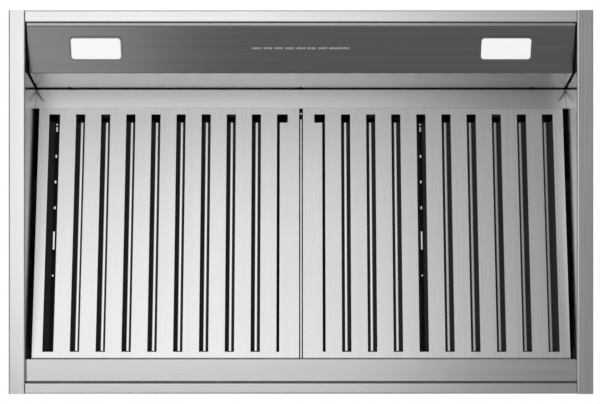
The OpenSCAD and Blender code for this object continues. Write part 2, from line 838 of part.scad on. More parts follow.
module blower_side() {
    color("lightgray") difference() {
        union() {
            along_x(plate_x, plate_x + scroll_t) scroll_area(0);
            translate([0, wheel_y, wheel_z]) lying(inlet_r + 1.2, wheel_half + 4, plate_x + 0.5);
            box([plate_x, outlet_y0, shell_top - scroll_t], [plate_x + 15, outlet_y1, shell_top]);
        }
        translate([0, wheel_y, wheel_z]) lying(inlet_r, wheel_half, plate_x + 10);
    }
}

module blower_side_right() {
    blower_side();
}

module blower_side_left() {
    mirror([1, 0, 0]) blower_side();
}

module blade_ring() {
    mid_r = (wheel_r + wheel_in_r) / 2;
    for (k = [0:blade_count - 1]) rotate(k * 360 / blade_count)
        intersection() {
            translate([mid_r, -blade_r]) difference() {
                circle(r = blade_r);
                circle(r = blade_r - blade_t);
            }
            translate([mid_r, 0]) square([wheel_r - wheel_in_r - 2, blade_r], center = true);
        }
}

module impeller() {
    disc_t = 2;
    ring_in = wheel_in_r;
    color("dimgray") translate([0, wheel_y, wheel_z]) {
        along_x(-wheel_half, wheel_half) blade_ring();
        lying(wheel_r, -disc_t / 2, disc_t / 2);
        lying(motor_x1 + 4, disc_t / 2 - 6, 14);
        for (x = [-wheel_half, wheel_half - 3]) difference() {
            lying(wheel_r, x, x + 3);
            lying(ring_in, x - 1, x + 4);
        }
        lying(shaft_r, -50, 18);
    }
}

module motor() {
    color("gray") translate([0, wheel_y, wheel_z]) difference() {
        union() {
            lying(motor_r, -motor_x0, -motor_x1 - 8);
            lying(motor_r - 14, -motor_x0, -motor_x1);
        }
        lying(shaft_r + pin_clear, -motor_x0 + 20, 0);
    }
}

module motor_bracket() {
    color("gray") translate([0, wheel_y, wheel_z]) difference() {
        union() {
            lying(motor_r - 6, -bracket_x - bracket_t, -bracket_x);
            for (a = [90, 210, 330]) rotate([a, 0, 0])
                box([-bracket_x - bracket_t, 0, -arm_w / 2], [-bracket_x, inlet_r + 22, arm_w / 2]);
        }
        lying(16, -bracket_x - 5, 0);
    }
}

module motor_mounts() {
    color("black") translate([0, wheel_y, wheel_z]) for (a = [90, 210, 330]) rotate([a, 0, 0])
        translate([0, motor_r - 16, 0]) lying(7, -motor_x0 - seat_gap - mount_len + seat_gap, -motor_x0 - seat_gap);
}

// Duct collar and dampers
module duct_collar() {
    color("lightgray") difference() {
        union() {
            translate([0, duct_y, 0]) upright(collar_r, collar_z, collar_z + collar_h);
            box([-collar_flange, duct_y - collar_flange, collar_z],
                [collar_flange, duct_y + collar_flange, collar_z + flange_t]);
        }
        translate([0, duct_y, 0]) upright(collar_r - collar_t, collar_z - 1, collar_z + collar_h + 1);
        collar_screw_places() upright(screw_hole_r, collar_z - 1, collar_z + 5);
        translate([0, duct_y - 150, damper_h]) rotate([-90, 0, 0]) cylinder(r = damper_pin_r + 0.1, h = 300);
    }
}

module damper_pin() {
    color("gray") translate([0, duct_y - collar_r + 0.2, damper_h])
        rotate([-90, 0, 0]) cylinder(r = damper_pin_r, h = 2 * collar_r - 0.4);
}

module damper(first) {
    clear = knuckle_r + 0.6;
    translate([0, duct_y, damper_h]) {
        intersection() {
            upright(flap_r, -0.5, 0.5);
            box([clear, -flap_r, -1], [flap_r, flap_r, 1]);
        }
        for (k = [first:2:3]) translate([0, (k - 1.5) * 2 * knuckle_l - knuckle_l / 2, 0]) difference() {
            union() {
                rotate([-90, 0, 0]) cylinder(r = knuckle_r, h = knuckle_l);
                box([knuckle_r - 1, 0, -0.5], [clear + 1, knuckle_l, 0.5]);
            }
            translate([0, -1, 0]) rotate([-90, 0, 0])
                cylinder(r = damper_pin_r + pin_clear, h = knuckle_l + 2);
        }
    }
}

module right_damper() {
    color("lightgray") damper(0);
}

module left_damper() {
    color("lightgray") mirror([1, 0, 0]) damper(1);
}

// Electrics
module wiring_box() {
    color("gray") difference() {
        box([box_x0, box_y0, box_z0], [box_x1, box_y1, shell_top]);
        box([box_x0 + sheet_t, box_y0 + sheet_t, box_z0 - 1],
            [box_x1 - sheet_t, box_y1 - sheet_t, shell_top - sheet_t]);
        translate([cable_x, cable_y, 0]) upright(cable_r + 9, shell_top - 5, shell_top + 1);
    }
}

module cover_screw_places() {
    for (x = [box_x0 + 7, box_x1 - 7]) for (y = [box_y0 + 7, box_y1 - 7])
        translate([x, y, 0]) children();
}

module wiring_cover() {
    top = box_z0 - seat_gap;
    color("gray") difference() {
        box([box_x0, box_y0, top - sheet_t], [box_x1, box_y1, top]);
        cover_screw_places() upright(screw_hole_r, top - 5, top + 1);
    }
}

module run_capacitor() {
    r = capacitor_r;
    color("black") translate([box_x0 + 8, box_y0 + r + 4, shell_top - sheet_t - seat_gap - r]) {
        lying(r, 0, capacitor_l);
        lying(r / 4, capacitor_l - 1, capacitor_l + 6);
    }
}

module lamp_driver() {
    top = shell_top - sheet_t - seat_gap;
    color("white") difference() {
        box([box_x1 - driver_w - 10, box_y0 + 6, top - driver_h], [box_x1 - 10, box_y1 - 8, top]);
        box([box_x1 - driver_w - 7, box_y0 + 5, top - driver_h - 1],
            [box_x1 - 13, box_y0 + 16, top - driver_h + 5]);
    }
}

module cable_clamp() {
    color("gray") translate([cable_x, cable_y, 0]) difference() {
        union() {
            upright(cable_r + 3.6, shell_top - 9, body_h + 16);
            translate([0, 0, body_h + seat_gap]) cylinder(r = cable_r + 8, h = 5, $fn = 6);
            translate([0, 0, shell_top - 5.5]) cylinder(r = cable_r + 8, h = 5, $fn = 6);
        }
        upright(cable_r, shell_top - 20, body_h + 30);
    }
}

// Screws
module screw_down(z, under) {
    upright(head_r, z, z + head_h);
    upright(screw_r, under, z + 0.5);
}

module top_screws() {
    color("dimgray") top_screw_places() screw_down(body_h + seat_gap, shell_top - 6);
}

module collar_screws() {
    color("dimgray") collar_screw_places()
        screw_down(collar_z + flange_t + seat_gap, body_h - sheet_t);
}

module blower_screws() {
    low = shell_top - scroll_t - seat_gap;
    color("dimgray") blower_screw_places() {
        upright(head_r, low - head_h, low);
        upright(screw_r, low - 0.5, body_h);
    }
}

module cover_screws() {
    low = box_z0 - 2 * seat_gap - sheet_t;
    color("dimgray") cover_screw_places() {
        upright(head_r, low - head_h, low);
        upright(screw_r, low - 0.5, low + 6);
    }
}

left_side_panel();
right_side_panel();
front_panel();
back_panel();
top_panel();
control_panel();
panel_brackets();
ledge_plate();
centre_divider();
filter_hangers();
filter_catches();
lamp_lenses();
lamp_bezels();
lamp_housings();
lamp_boards();
touch_board();
left_filter_pan();
left_filter_baffles();
left_filter_rails();
left_filter_pivots();
right_filter_pan();
right_filter_baffles();
right_filter_rails();
right_filter_pivots();
grease_tray();
tray_clips();
blower_scroll();
blower_side_left();
blower_side_right();
impeller();
motor();
motor_bracket();
motor_mounts();
duct_collar();
damper_pin();
left_damper();
right_damper();
wiring_box();
wiring_cover();
run_capacitor();
lamp_driver();
cable_clamp();
top_screws();
collar_screws();
blower_screws();
cover_screws();
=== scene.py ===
"""Looks of the wall mount range hood, seen from straight below as in the photograph."""

from __future__ import annotations

import logging
import math
from collections.abc import Callable
from dataclasses import dataclass
from enum import Enum
from typing import ClassVar

import bpy
from mathutils import Euler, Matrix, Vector


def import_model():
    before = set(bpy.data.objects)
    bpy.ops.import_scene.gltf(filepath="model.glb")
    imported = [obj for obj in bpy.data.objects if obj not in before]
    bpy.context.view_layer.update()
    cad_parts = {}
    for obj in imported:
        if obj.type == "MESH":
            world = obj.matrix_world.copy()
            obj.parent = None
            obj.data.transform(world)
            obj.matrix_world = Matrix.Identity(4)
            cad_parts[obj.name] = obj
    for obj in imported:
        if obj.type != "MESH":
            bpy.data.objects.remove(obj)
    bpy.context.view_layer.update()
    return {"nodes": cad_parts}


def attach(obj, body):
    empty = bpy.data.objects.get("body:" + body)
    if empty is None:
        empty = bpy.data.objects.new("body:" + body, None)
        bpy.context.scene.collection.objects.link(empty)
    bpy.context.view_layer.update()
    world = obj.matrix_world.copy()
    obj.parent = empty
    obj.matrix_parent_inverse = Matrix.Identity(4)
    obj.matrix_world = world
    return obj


LOG = logging.getLogger("range_hood")
MM = 0.001

Triple = tuple[float, float, float]


class Axis(Enum):
    """A direction that a brushed grain runs along.

    X runs across the hood and Y from front to rear. FALL is Y as the filters slope.
    """

    X = (1.0, 0.0, 0.0)
    Y = (0.0, 1.0, 0.0)
    FALL = (0.0, 0.974, -0.225)


class Side(Enum):
    """One side of the hood, as the sign of its X."""

    LEFT = -1
    RIGHT = 1

    @property
    def word(self) -> str:
        """The side's name as the CAD writes it."""
        return self.name.lower()


@dataclass(frozen=True)
class FilterSlope:
    """The plane of the filters' lower faces, in millimetres and degrees.

    Attributes:
        front_y: Y of its front end.
        front_z: Height of its front end.
        fall: Angle by which it falls toward the rear.
    """

    front_y: float = -184.1
    front_z: float = 128.1
    fall: float = 13.019

    @property
    def up(self) -> Triple:
        """Unit vector square to the plane, upwards."""
        return (0.0, math.sin(math.radians(self.fall)), math.cos(math.radians(self.fall)))

    @property
    def level(self) -> float:
        """Distance of the plane from the origin along its upward normal, in metres."""
        return (self.front_y * self.up[1] + self.front_z * self.up[2]) * MM


SLOPE = FilterSlope()


@dataclass(frozen=True)
class Limit:
    """A soft edge of a shaded region.

    Attributes:
        along: Direction that is measured.
        start: Value up to which the surface stays outside, in metres. Normals have no unit.
        end: Value past which it is wholly inside. It may be the lower of the two.
        by_normal: True to measure the face's normal in place of its position.
        mirrored: True to measure the same way on both sides of the zero plane.
        pitch: Length after which the region repeats, or 0 for one that doesn't.
        first: Middle of the first repeat, from which the value is then measured.
    """

    along: Triple
    start: float
    end: float
    by_normal: bool = False
    mirrored: bool = False
    pitch: float = 0.0
    first: float = 0.0


@dataclass(frozen=True)
class Shade:
    """A region of a finish whose colour is painted darker, mostly painted shade in corners, creases
    and gaps.

    Attributes:
        limits: All edges that a point has to pass.
        left: Share of the colour that is left inside.
    """

    limits: tuple[Limit, ...]
    left: float


@dataclass(frozen=True)
class Steel:
    """A brushed sheet finish.

    Attributes:
        name: Material name.
        colour: Base reflectance, linear.
        roughness: Mean roughness.
        grain: Direction of the grain.
        streak: How strongly the grain varies colour and roughness, 0 to 1.
        stretch: Anisotropy across the grain.
        lines_per_m: Grain lines in a metre.
        shades: Regions whose colour is painted darker, most of them painted shade.
        polished: Edges of the region that is smoother than the rest.
    """

    name: str
    colour: Triple
    roughness: float
    grain: Axis
    streak: float = 0.35
    stretch: float = 0.6
    lines_per_m: float = 620.0
    shades: tuple[Shade, ...] = ()
    polished: tuple[Limit, ...] = ()


@dataclass(frozen=True)
class Coat:
    """A plain finish with mottled colour, roughness and bump.

    Attributes:
        name: Material name.
        colour: Base colour, linear.
        roughness: Mean roughness.
        grain_per_m: Noise cells in a metre.
        mottle: Relative half width of the colour variation.
        bump_mm: Height of the bump in millimetres.
        metallic: 0 or 1.
        cells: True for a crystal pattern such as zinc spangle.
        specular: Strength of the gloss on a surface that is no metal.
    """

    name: str
    colour: Triple
    roughness: float
    grain_per_m: float
    mottle: float
    bump_mm: float
    metallic: float = 0.0
    cells: bool = False
    specular: float = 0.5


@dataclass(frozen=True)
class Frosted:
    """A lit, frosted lens.

    Attributes:
        name: Material name.
        colour: Base colour, linear.
        level: Emission strength.
        grain_per_m: Noise cells in a metre.
    """

    name: str
    colour: Triple
    level: float
    grain_per_m: float = 350.0


Finish = Steel | Coat | Frosted


@dataclass(frozen=True)
class Brushing:
    """How the grain of every brushed sheet is drawn.

    Attributes:
        fine_along: Cells of the fine lines in a metre along the grain.
        fine_detail: Octaves of the fine lines.
        broad_along: Cells of the broad bands in a metre along the grain.
        broad_across: Their cells in a metre across it.
        smudges_per_m: Cells of the smudges in a metre.
        fine_share: Part of the tone that the fine lines give. The broad bands give the rest.
        usual_streak: Streak at which the tone and the bump are as given here.
        tone_spread: Relative half width of the colour's variation.
        rough_spread: Relative half width of the roughness's variation at a streak of 1.
        smudge_rough: What smudges add to the roughness, at least and at most.
        polish: Share of the roughness that a polished region keeps.
        metal_span: Shares of left colour at which a shaded region is no metal and all metal.
        shade_rough: Roughness that a wholly shaded region gains.
        shade_gloss: Specular level of a shaded region.
        bump: Height of the lines in metres.
        bump_strength: Strength of their bump.
    """

    fine_along: float = 1.6
    fine_detail: float = 3.0
    broad_along: float = 0.7
    broad_across: float = 70.0
    smudges_per_m: float = 7.0
    fine_share: float = 0.6
    usual_streak: float = 0.35
    tone_spread: float = 0.09
    rough_spread: float = 0.3
    smudge_rough: tuple[float, float] = (-0.006, 0.008)
    polish: float = 0.6
    metal_span: tuple[float, float] = (0.05, 0.4)
    shade_rough: float = 0.5
    shade_gloss: float = 0.12
    bump: float = 0.00001
    bump_strength: float = 0.4


@dataclass(frozen=True)
class Coating:
    """How every coat and lens is drawn.

    Attributes:
        mottle_detail: Octaves of the mottled colour.
        rough_per_m: Cells of the roughness's variation in a metre.
        rough_spread: Its relative half width.
        bump_strength: Strength of a coat's bump.
        lens_mottle: Relative half width of the lens's colour variation.
        lens_rough: Least and greatest roughness of the lens.
        lens_bump: Height of the lens's frosting in metres.
        lens_bump_strength: Strength of its bump.
    """

    mottle_detail: float = 3.0
    rough_per_m: float = 23.0
    rough_spread: float = 0.12
    bump_strength: float = 0.4
    lens_mottle: float = 0.04
    lens_rough: tuple[float, float] = (0.32, 0.42)
    lens_bump: float = 0.00003
    lens_bump_strength: float = 0.5


BRUSHING = Brushing()
COATING = Coating()


class Graph:
    """Small helper that builds a material's node tree."""

    def __init__(self, name: str) -> None:
        """Starts an empty material.

        Args:
            name: Material name.
        """
        self.material = bpy.data.materials.new(name)
        self.material.use_nodes = True
        self.tree = self.material.node_tree
        self.tree.nodes.clear()
        self.shader = self.add("ShaderNodeBsdfPrincipled")
        self.link(self.shader, "BSDF", self.add("ShaderNodeOutputMaterial"), "Surface")
        self.coords = self.add("ShaderNodeTexCoord")
        self.geometry = self.add("ShaderNodeNewGeometry")

    def add(self, kind: str, **settings: object) -> bpy.types.Node:
        """Adds a node.

        Args:
            kind: Node type.
            **settings: Attributes of the node.

        Returns:
            The new node.
        """
        node = self.tree.nodes.new(kind)
        for key, value in settings.items():
            setattr(node, key, value)
        return node

    def link(self, source: bpy.types.Node, out: str | int, target: bpy.types.Node,
             into: str | int) -> None:
        """Links two sockets.

        Args:
            source: Node that gives the value.
            out: Its output.
            target: Node that takes the value.
            into: Its input.
        """
        self.tree.links.new(source.outputs[out], target.inputs[into])

    def set(self, socket: str, value: object) -> None:
        """Sets a constant on the surface shader.

        Args:
            socket: Input name.
            value: Its value.
        """
        self.shader.inputs[socket].default_value = value

    def math(self, operation: str, first: bpy.types.Node, out: str | int,
             *rest: bpy.types.Node | float) -> bpy.types.Node:
        """Adds a maths node.

        Args:
            operation: What it does.
            first: Node of the first value.
            out: That node's output.
            *rest: The other values, as numbers or as nodes whose first output is taken.

        Returns:
            The maths node.
        """
        node = self.add("ShaderNodeMath", operation=operation)
        self.link(first, out, node, 0)
        for index, value in enumerate(rest, 1):
            if isinstance(value, bpy.types.Node):
                self.link(value, 0, node, index)
            else:
                node.inputs[index].default_value = value
        return node

    def noise(self, scale: Triple, detail: float = 2.0) -> bpy.types.Node:
        """Adds noise in object coordinates.

        Args:
            scale: Cells in a metre along each axis.
            detail: Octaves.

        Returns:
            The noise node.
        """
        mapping = self.add("ShaderNodeMapping")
        mapping.inputs["Scale"].default_value = scale
        self.link(self.coords, "Object", mapping, "Vector")
        noise = self.add("ShaderNodeTexNoise")
        noise.inputs["Scale"].default_value = 1.0
        noise.inputs["Detail"].default_value = detail
        self.link(mapping, "Vector", noise, "Vector")
        return noise

    def ramp(self, source: bpy.types.Node, out: str | int, low: float, high: float,
             start: float = 0.3, end: float = 0.7) -> bpy.types.Node:
        """Maps a value to a range.

        Args:
            source: Node that gives the value.
            out: Its output.
            low: Result at start.
            high: Result at end.
            start: Lower input.
            end: Upper input.

        Returns:
            The map range node.
        """
        node = self.add("ShaderNodeMapRange")
        sockets = {"From Min": start, "From Max": end, "To Min": low, "To Max": high}
        for socket, value in sockets.items():
            node.inputs[socket].default_value = value
        self.link(source, out, node, "Value")
        return node

    def limit(self, edge: Limit) -> bpy.types.Node:
        """Gives 0 outside a soft edge and 1 inside it.

        Args:
            edge: The edge.

        Returns:
            The node that gives the value.
        """
        dot = self.add("ShaderNodeVectorMath", operation="DOT_PRODUCT")
        dot.inputs[1].default_value = edge.along
        if edge.by_normal:
            self.link(self.geometry, "True Normal", dot, 0)
        else:
            self.link(self.coords, "Object", dot, 0)
        value, out = dot, "Value"
        if edge.mirrored:
            value, out = self.math("ABSOLUTE", value, out), 0
        if edge.pitch:
            value = self.math("SUBTRACT", value, out, edge.first)
            value, out = self.math("WRAP", value, 0, edge.pitch / 2, -edge.pitch / 2), 0
        return self.ramp(value, out, 0.0, 1.0, edge.start, edge.end)

    def region(self, limits: tuple[Limit, ...]) -> bpy.types.Node:
        """Gives 1 where a point passes all edges and 0 where it fails one.

        Args:
            limits: The edges.

        Returns:
            The node that gives the value.
        """
        inside = self.limit(limits[0])
        for edge in limits[1:]:
            inside = self.math("MULTIPLY", inside, 0, self.limit(edge))
        return inside

    def shading(self, shades: tuple[Shade, ...]) -> bpy.types.Node | None:
        """Gives the share of colour that the shaded regions leave.

        Args:
            shades: The regions.

        Returns:
            The node that gives the share, or None where nothing is shaded.
        """
        share = None
        for shade in shades:
            kept = self.ramp(self.region(shade.limits), 0, 1.0, shade.left, 0.0, 1.0)
            share = kept if share is None else self.math("MULTIPLY", share, 0, kept)
        return share

    def tint(self, factor: bpy.types.Node, colour: Triple, spread: float,
             share: bpy.types.Node | None = None) -> None:
        """Varies the base colour between a darker and a lighter tone.

        Args:
            factor: Node whose first output runs from 0 to 1.
            colour: Mean colour.
            spread: Relative half width of the variation.
            share: Node whose first output multiplies the colour.
        """
        mix = self.add("ShaderNodeMix", data_type="RGBA")
        mix.inputs[6].default_value = [c * (1.0 - spread) for c in colour] + [1.0]
        mix.inputs[7].default_value = [min(1.0, c * (1.0 + spread)) for c in colour] + [1.0]
        self.link(factor, 0, mix, 0)
        if share is None:
            self.link(mix, 2, self.shader, "Base Color")
            return
        scale = self.add("ShaderNodeVectorMath", operation="SCALE")
        self.link(mix, 2, scale, 0)
        self.link(share, 0, scale, "Scale")
        self.link(scale, 0, self.shader, "Base Color")

    def bump(self, height: bpy.types.Node, out: str | int, distance: float,
             strength: float) -> None:
        """Adds bump to the surface shader.

        Args:
            height: Node that gives the height.
            out: Its output.
            distance: How high a value of 1 stands, in metres.
            strength: Bump strength.
        """
        bump = self.add("ShaderNodeBump")
        bump.inputs["Distance"].default_value = distance
        bump.inputs["Strength"].default_value = strength
        self.link(height, out, bump, "Height")
        self.link(bump, "Normal", self.shader, "Normal")


class Finisher:
    """Makes each finish's material once and gives it out."""

    def __init__(self) -> None:
        """Starts with no material made."""
        self.made: dict[str, bpy.types.Material] = {}

    def get(self, finish: Finish) -> bpy.types.Material:
        """Gives the material of a finish.

        Args:
            finish: The finish.

        Returns:
            Its material.
        """
        if finish.name not in self.made:
            makers = {Steel: self.brushed, Coat: self.coated, Frosted: self.frosted}
            self.made[finish.name] = makers[type(finish)](finish)
        return self.made[finish.name]

    @staticmethod
    def across(axis: Axis, along: float, over: float) -> Triple:
        """Gives a noise scale for streaks.

        Args:
            axis: Grain axis.
            along: Cells in a metre along the grain.
            over: Cells in a metre across it.

        Returns:
            The scale vector.
        """
        return tuple(along if part else over for part in axis.value)

    def brushed(self, finish: Steel) -> bpy.types.Material:
        """Makes a brushed steel material.

        Args:
            finish: What the steel looks like.

        Returns:
            The material.
        """
        graph = Graph(finish.name)
        strength = finish.streak / BRUSHING.usual_streak
        fine = graph.noise(self.across(finish.grain, BRUSHING.fine_along, finish.lines_per_m),
                           BRUSHING.fine_detail)
        broad = graph.noise(self.across(finish.grain, BRUSHING.broad_along, BRUSHING.broad_across))
        smudge = graph.noise((BRUSHING.smudges_per_m,) * 3)
        tone = graph.math("ADD", graph.ramp(fine, "Fac", 0.0, BRUSHING.fine_share), 0,
                          graph.ramp(broad, "Fac", 0.0, 1.0 - BRUSHING.fine_share))
        share = graph.shading(finish.shades)
        graph.tint(tone, finish.colour, BRUSHING.tone_spread * strength, share)
        spread = BRUSHING.rough_spread * finish.streak
        base = graph.ramp(fine, "Fac", finish.roughness * (1 - spread),
                          finish.roughness * (1 + spread))
        rough = graph.math("ADD", base, 0, graph.ramp(smudge, "Fac", *BRUSHING.smudge_rough))
        if finish.polished:
            smoother = graph.ramp(graph.region(finish.polished), 0, 1.0, BRUSHING.polish, 0.0, 1.0)
            rough = graph.math("MULTIPLY", rough, 0, smoother)
        if share is None:
            graph.set("Metallic", 1.0)
        else:
            span = BRUSHING.metal_span
            graph.set("Specular IOR Level", BRUSHING.shade_gloss)
            graph.link(graph.ramp(share, 0, 0.0, 1.0, *span), 0, graph.shader, "Metallic")
            rough = graph.math("ADD", rough, 0,
                               graph.ramp(share, 0, BRUSHING.shade_rough, 0.0, *span))
        graph.link(rough, 0, graph.shader, "Roughness")
        graph.set("Anisotropic", finish.stretch)
        axis = graph.add("ShaderNodeCombineXYZ")
        for index, part in enumerate(finish.grain.value):
            axis.inputs[index].default_value = part
        cross = graph.add("ShaderNodeVectorMath", operation="CROSS_PRODUCT")
        graph.link(graph.geometry, "True Normal", cross, 0)
        graph.link(axis, 0, cross, 1)
        graph.link(cross, 0, graph.shader, "Tangent")
        graph.bump(fine, "Fac", BRUSHING.bump * strength, BRUSHING.bump_strength)
        return graph.material

    @staticmethod
    def coated(finish: Coat) -> bpy.types.Material:
        """Makes a plain or spangled material.

        Args:
            finish: What the surface looks like.

        Returns:
            The material.
        """
        graph = Graph(finish.name)
        scale = (finish.grain_per_m,) * 3
        if finish.cells:
            mapping = graph.add("ShaderNodeMapping")
            mapping.inputs["Scale"].default_value = scale
            graph.link(graph.coords, "Object", mapping, "Vector")
            pattern = graph.add("ShaderNodeTexVoronoi")
            pattern.inputs["Scale"].default_value = 1.0
            graph.link(mapping, "Vector", pattern, "Vector")
            split = graph.add("ShaderNodeSeparateColor")
            graph.link(pattern, "Color", split, 0)
            tone = graph.ramp(split, "Red", 0.0, 1.0, 0.0, 1.0)
        else:
            tone = graph.ramp(graph.noise(scale, COATING.mottle_detail), "Fac", 0.0, 1.0)
        graph.tint(tone, finish.colour, finish.mottle)
        rough = graph.ramp(graph.noise((COATING.rough_per_m,) * 3), "Fac",
                           finish.roughness * (1 - COATING.rough_spread),
                           min(1.0, finish.roughness * (1 + COATING.rough_spread)))
        graph.link(rough, 0, graph.shader, "Roughness")
        graph.set("Metallic", finish.metallic)
        graph.set("Specular IOR Level", finish.specular)
        graph.bump(tone, 0, finish.bump_mm * MM, COATING.bump_strength)
        return graph.material

    @staticmethod
    def frosted(finish: Frosted) -> bpy.types.Material:
        """Makes the lit lens material.

        Args:
            finish: What the lens looks like.

        Returns:
            The material.
        """
        graph = Graph(finish.name)
        cells = graph.noise((finish.grain_per_m,) * 3)
        tone = graph.ramp(cells, "Fac", 0.0, 1.0)
        graph.tint(tone, finish.colour, COATING.lens_mottle)
        graph.link(graph.ramp(cells, "Fac", *COATING.lens_rough), 0, graph.shader, "Roughness")
        graph.set("Emission Color", (1.0, 1.0, 1.0, 1.0))
        graph.set("Emission Strength", finish.level)
        graph.bump(tone, 0, COATING.lens_bump, COATING.lens_bump_strength)
        return graph.material


# Regions whose colour is painted darker, in metres in the part's frame. BAFFLE_FIRST is the middle
# of the innermost baffle, and the last constant is the direction square to the right-hand painted
# reflection on the ledge.
BAFFLE_PITCH = 0.040772
BAFFLE_FIRST = 0.03155
GAP_REFLECTION_ACROSS = (0.8177, 0.5757)

# The upright liner walls of both sides.
LINER_WALL = (
    Limit(Axis.X.value, 0.85, 0.95, by_normal=True, mirrored=True),
    Limit(Axis.X.value, 0.4345, 0.4335, mirrored=True),
)

# Painted shade that turns black the front nook between each liner wall and the control panel.
LINER_NOOK_SHADE = Shade((*LINER_WALL, Limit((0.0, -1.0, 0.0), 0.2025, 0.2045)), 0.03)

# A painted reflection on the ledge at either end: a short dark diagonal that mirrors the gap at the
# panel's end.
LEDGE_GAP_REFLECTIONS = tuple(Shade((
    Limit((side.value * GAP_REFLECTION_ACROSS[0], GAP_REFLECTION_ACROSS[1], 0.0), 0.2462, 0.2472),
    Limit((side.value * GAP_REFLECTION_ACROSS[0], GAP_REFLECTION_ACROSS[1], 0.0), 0.2506, 0.2496),
    Limit(Axis.Y.value, -0.1610, -0.1670),
), 0.42) for side in Side)

# Painted shade in the crease where the control panel's front hem turns into its slant.
HEM_CREASE_SHADE = Shade((
    Limit(Axis.Y.value, -0.2764, -0.2754), Limit(Axis.Y.value, -0.2736, -0.2746),
), 0.6)

# The slant itself, picked by the direction of its face and given a darker colour than the riser
# behind it.
SLANT_DARKENING = Shade((
    Limit((0.0, 0.0, -1.0), 0.5, 0.7, by_normal=True), Limit(Axis.Y.value, -0.2754, -0.2744),
), 0.41)

# Painted shade on the baffles' upright legs, and on the two edges of the web that shows through a
# slot.
BAFFLE_LEG_SHADE = Shade((
    Limit(SLOPE.up, 0.25, 0.03, by_normal=True, mirrored=True),
), 0.05)
BAFFLE_BEND_SHADE = Shade((
    Limit(Axis.X.value, 0.0004, 0.0021, mirrored=True, pitch=BAFFLE_PITCH, first=BAFFLE_FIRST),
), 0.13)
BAFFLE_RIM_SHADE = Shade((
    Limit(Axis.X.value, -0.0010, -0.0022, mirrored=True, pitch=BAFFLE_PITCH, first=BAFFLE_FIRST),
), 0.20)

# Painted shade on the divider above the filters' lower faces, where it stands deep in the gap
# between them.
DIVIDER_ROOT_SHADE = Shade((
    Limit(SLOPE.up, SLOPE.level + 0.0095, SLOPE.level + 0.0105),
), 0.04)

SIDE_STEEL = Steel("steel_side", (0.51, 0.51, 0.52), 0.25, Axis.Y, stretch=0.3,
                   shades=(LINER_NOOK_SHADE,), polished=LINER_WALL)
SHEET_STEEL = Steel("steel_sheet", (0.55, 0.55, 0.56), 0.31, Axis.X)
LEDGE_STEEL = Steel("steel_ledge", (0.55, 0.55, 0.56), 0.31, Axis.X, shades=LEDGE_GAP_REFLECTIONS)
FRONT_STEEL = Steel("steel_front", (0.64, 0.64, 0.65), 0.36, Axis.X, stretch=0.25)
FASCIA_STEEL = Steel("steel_fascia", (0.58, 0.585, 0.60), 0.23, Axis.X, streak=0.5,
                     shades=(HEM_CREASE_SHADE, SLANT_DARKENING))
FILTER_STEEL = Steel("steel_filter", (0.56, 0.56, 0.56), 0.28, Axis.FALL, streak=0.25, stretch=0.3)
DIVIDER_STEEL = Steel("steel_divider", (0.62, 0.62, 0.62), 0.28, Axis.Y, shades=(DIVIDER_ROOT_SHADE,))
BAFFLE_STEEL = Steel("steel_baffle", (0.56, 0.56, 0.56), 0.20, Axis.FALL, streak=0.2, stretch=0.0,
                     shades=(BAFFLE_LEG_SHADE, BAFFLE_BEND_SHADE, BAFFLE_RIM_SHADE))
RAIL_STEEL = Steel("steel_rail", (0.06, 0.06, 0.06), 0.30, Axis.X, streak=0.2)
TRAY_STEEL = Steel("steel_tray", (0.55, 0.55, 0.56), 0.30, Axis.X)

ZINC = Coat("zinc_bracket", (0.50, 0.51, 0.53), 0.42, metallic=1.0,
            grain_per_m=220.0, mottle=0.10, bump_mm=0.02)
SPRING = Coat("spring_steel", (0.42, 0.42, 0.43), 0.28, metallic=1.0,
              grain_per_m=600.0, mottle=0.08, bump_mm=0.01)
BLUED = Coat("blued_spring", (0.02, 0.022, 0.026), 0.45,
             grain_per_m=600.0, mottle=0.10, bump_mm=0.01)
PIN = Coat("pin_steel", (0.62, 0.62, 0.63), 0.20, metallic=1.0,
           grain_per_m=500.0, mottle=0.06, bump_mm=0.01)
BEZEL = Coat("bezel_satin", (0.26, 0.26, 0.265), 0.32, metallic=1.0,
             grain_per_m=700.0, mottle=0.05, bump_mm=0.01)
GALVANISED = Coat("galvanised_sheet", (0.52, 0.54, 0.56), 0.40, metallic=1.0,
                  grain_per_m=90.0, mottle=0.16, bump_mm=0.01, cells=True)
WHEEL = Coat("wheel_aluminium", (0.48, 0.49, 0.51), 0.45, metallic=1.0,
             grain_per_m=300.0, mottle=0.10, bump_mm=0.02)
FLAP = Coat("flap_aluminium", (0.66, 0.67, 0.68), 0.36, metallic=1.0,
            grain_per_m=260.0, mottle=0.07, bump_mm=0.01)
MOTOR_PAINT = Coat("motor_paint", (0.045, 0.048, 0.055), 0.48,
                   grain_per_m=500.0, mottle=0.20, bump_mm=0.05)
OXIDE = Coat("dark_oxide", (0.03, 0.03, 0.032), 0.5, metallic=1.0,
             grain_per_m=300.0, mottle=0.2, bump_mm=0.02)
# A dark sheet of painted shade that darkens one slot of each filter.
SLOT_SHADE_SHEET = Coat("slot_shade_strip", (0.010, 0.010, 0.010), 0.7,
            grain_per_m=300.0, mottle=0.2, bump_mm=0.02, specular=0.1)
RUBBER = Coat("mount_rubber", (0.012, 0.012, 0.012), 0.75,
              grain_per_m=900.0, mottle=0.25, bump_mm=0.05)
BLACK_PLASTIC = Coat("black_plastic", (0.02, 0.02, 0.021), 0.42,
                     grain_per_m=900.0, mottle=0.20, bump_mm=0.03)
WHITE_PLASTIC = Coat("white_plastic", (0.72, 0.72, 0.70), 0.45,
                     grain_per_m=900.0, mottle=0.04, bump_mm=0.03)
CIRCUIT = Coat("circuit_board", (0.015, 0.07, 0.03), 0.35,
               grain_per_m=160.0, mottle=0.30, bump_mm=0.02)
LAMP_BOARD = Coat("lamp_board", (0.75, 0.75, 0.70), 0.40,
                  grain_per_m=200.0, mottle=0.05, bump_mm=0.02)
